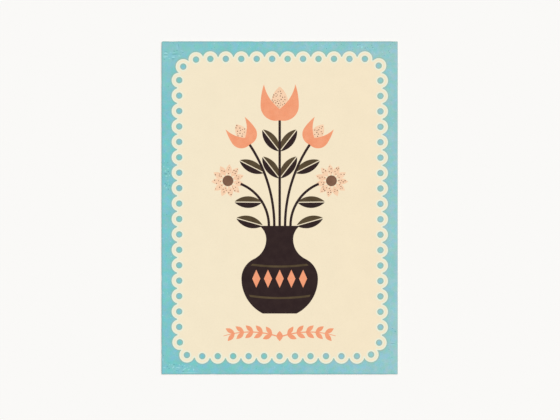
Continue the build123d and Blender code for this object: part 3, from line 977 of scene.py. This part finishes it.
def sprig_recipe():
    """Two arching twigs with paired pointed leaves, on both sides of a bud."""
    sprig = Recipe("leaf_sprig", Float=[
        "Root", "Reach", "Height", "Sag", "Line Width", "Leaf Pitch", "Leaf Spread", "Leaf Length",
        "Leaf Width", "Bud Length", "Bud Width", "Level", "Film",
    ], Int=["Line Points", "Leaf Pairs"], Material=["Ink"])
    root, reach, height, level = sprig["Root"], sprig["Reach"], sprig["Height"], sprig["Level"]
    twig = sprig.node("GeometryNodeCurveArc", {
        "Resolution": TWIG_POINTS, "Start": sprig.vector(root, height),
        "Middle": sprig.vector(sprig.times(sprig.plus(root, reach), 0.5), sprig.plus(height, sprig["Sag"])),
        "End": sprig.vector(reach, height),
    }, mode="POINTS").outputs["Curve"]
    length = sprig.node("GeometryNodeCurveLength", {"Curve": twig}).outputs["Length"]

    def along(distance):
        sample = sprig.node("GeometryNodeSampleCurve", {"Curves": twig, "Length": distance}, mode="LENGTH")
        return sample.outputs

    # the line's edge runs out along one side and back along the other, tapering to its tip
    index = sprig.index()
    last = sprig.minus(sprig["Line Points"], 1.0)
    back = sprig.maths("GREATER_THAN", index, sprig.plus(last, 0.5))
    mirrored = sprig.minus(sprig.maths("MULTIPLY_ADD", last, 2.0, 1.0), index)
    share = sprig.over(sprig.maths("MINIMUM", index, mirrored), last)
    here = along(sprig.times(share, length))
    side = sprig.minus(sprig.times(back, 2.0), 1.0)
    taper = sprig.minus(1.0, sprig.times(sprig.maths("POWER", share, 3.0), TWIG_TAPER))
    half = sprig.times(sprig.times(side, taper), sprig.times(sprig["Line Width"], 0.5))
    across = sprig.vectors("CROSS_PRODUCT", here["Tangent"], (0, 0, 1))
    edge = sprig.vectors("ADD", here["Position"], sprig.scaled(across, half))
    line = sprig.filled(sprig.closed_line(sprig.times(sprig["Line Points"], 2.0), edge))
    line = sprig.film(line, level, sprig["Film"])

    # each seat on the twig has a leaf to its left and one to its right
    pair = sprig.maths("FLOOR", sprig.over(sprig.index(), 2.0))
    hand = sprig.minus(1.0, sprig.times(sprig.maths("MODULO", sprig.index(), 2.0), 2.0))
    seat = along(sprig.times(sprig.plus(pair, 0.5), sprig["Leaf Pitch"]))
    heading = sprig.axes(seat["Tangent"])
    ahead = sprig.maths("ARCTAN2", heading["Y"], heading["X"])
    angle = sprig.maths("MULTIPLY_ADD", hand, sprig["Leaf Spread"], ahead)
    seats = sprig.node("GeometryNodePoints", {
        "Count": sprig.times(sprig["Leaf Pairs"], 2.0), "Position": seat["Position"],
    }).outputs["Points"]
    thin = sprig.minus(sprig["Film"], LEAF_DROP_M)
    leaf = sprig.filled(sprig.pointed_oval(0.0, sprig["Leaf Length"], sprig["Leaf Width"]))
    leaf = sprig.film(leaf, level, thin)
    leaves = sprig.turned_copies(leaf, sprig.kept(seats, "angle", angle), sprig.attribute("angle"))
    right = sprig.realized(sprig.join(line, leaves))
    left = sprig.node("GeometryNodeTransform", {"Geometry": right, "Scale": (-1, 1, 1)})
    left = sprig.flipped(left.outputs["Geometry"])

    bud_root = sprig.times(sprig["Bud Length"], -0.5)
    bud = sprig.filled(sprig.pointed_oval(bud_root, sprig["Bud Length"], sprig["Bud Width"]))
    bud_seat = sprig.node("GeometryNodePoints", {"Count": 1, "Position": sprig.vector(0.0, height)})
    bud = sprig.turned_copies(sprig.film(bud, level, thin), bud_seat.outputs["Points"], math.pi / 2)
    sprig.finish(sprig.join(right, left, bud), sprig["Ink"])
    return sprig


leaf_sprig = sprig_recipe().make("leaf_sprig", {
    "Root": 1.3 * MM, "Reach": 25.0 * MM, "Height": -57.0 * MM, "Sag": 1.8 * MM,
    "Line Width": 0.55 * MM, "Line Points": 60,
    "Leaf Pairs": 5, "Leaf Pitch": 4.2 * MM, "Leaf Spread": math.radians(38),
    "Leaf Length": 4.6 * MM, "Leaf Width": 2.0 * MM, "Bud Length": 4.6 * MM, "Bud Width": 2.8 * MM,
    "Level": film_low, "Film": film_high - film_low, "Ink": coral_print,
})
hand_over(leaf_sprig, "coral_ink", "ornament_sprig")


# Flat inks on their own solids

def dress(material, *nodes):
    for name in nodes:
        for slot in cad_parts[name].material_slots:
            slot.material = material


dress(brown_print, "vase_body", "flower_stems", "leaf_outer_halves")
dress(olive_print, "vase_bands", "leaf_inner_halves")
dress(coral_print, "vase_lozenges", "tulip_petals")
dress(walnut_print, "aster_eyes")
dress(writing_print, "divider_line", "address_lines", "stamp_frame")


# Studio: a plain pale floor, even light from all round and a soft light from the right

FLOOR_COLOUR = linear(250, 249, 247)
FLOOR_DROP_M = 1e-4
FLOOR_HALF_M = 4.0
WHITE = (1, 1, 1, 1)
AMBIENT = 0.66
SUN_SHARE = 0.34
SUN_ELEVATION = math.radians(52)
SUN_AZIMUTH = math.radians(35)  # from the card's right, towards its top
SUN_SPREAD = math.radians(28)

floor_mesh = bpy.data.meshes.new("floor")
floor_corners = [(x * FLOOR_HALF_M, y * FLOOR_HALF_M, -FLOOR_DROP_M) for x, y in CORNERS]
floor_mesh.from_pydata(floor_corners, [], [(0, 1, 2, 3)])
floor_paint = Finish("floor_paint", roughness=1.0, specular=0.0)
floor_paint.colour(FLOOR_COLOUR)
floor_mesh.materials.append(floor_paint.material)
floor = add_object("floor", floor_mesh)

world = bpy.data.worlds.new("studio")
scene.world = world
world.use_nodes = True
studio = Nodes(world.node_tree)
studio.tree.nodes.clear()
rays = studio.node("ShaderNodeLightPath").outputs
mirrored = studio.maths("MAXIMUM", rays["Is Glossy Ray"], rays["Is Transmission Ray"])
seen = studio.maths("MAXIMUM", rays["Is Camera Ray"], mirrored)
around = studio.node("ShaderNodeBackground", {"Color": WHITE, "Strength": AMBIENT})
backdrop = studio.node("ShaderNodeBackground", {"Color": FLOOR_COLOUR, "Strength": 1.0})
both = studio.node("ShaderNodeMixShader", {0: seen, 1: around.outputs[0], 2: backdrop.outputs[0]})
studio.node("ShaderNodeOutputWorld", {"Surface": both.outputs[0]})

sun_data = bpy.data.lights.new("soft_sun", "SUN")
sun_data.energy = SUN_SHARE * math.pi / math.sin(SUN_ELEVATION)
sun_data.angle = SUN_SPREAD
sun = add_object("soft_sun", sun_data)
towards = Vector((
    math.cos(SUN_ELEVATION) * math.cos(SUN_AZIMUTH),
    math.cos(SUN_ELEVATION) * math.sin(SUN_AZIMUTH),
    math.sin(SUN_ELEVATION),
))
sun.rotation_euler = towards.to_track_quat("Z", "Y").to_euler()
sun.location = towards


# Camera: square on to the picture, with the card a little above the middle of the view

PIXELS_ACROSS = 560
PIXELS_PER_MM = 2.2502
AIM = (0.138, -0.978)  # point of the card in the middle of the view
LENS = 85.0
SENSOR_WIDTH = 36.0
NEAREST_M = 0.01

camera_data = bpy.data.cameras.new("camera")
camera_data.lens = LENS
camera_data.sensor_width = SENSOR_WIDTH
camera_data.clip_start = NEAREST_M
camera = add_object("camera", camera_data)
view_width_m = PIXELS_ACROSS / PIXELS_PER_MM * MM
camera.location = (AIM[0] * MM, AIM[1] * MM, cad_high.z + view_width_m * LENS / SENSOR_WIDTH)
scene.camera = camera
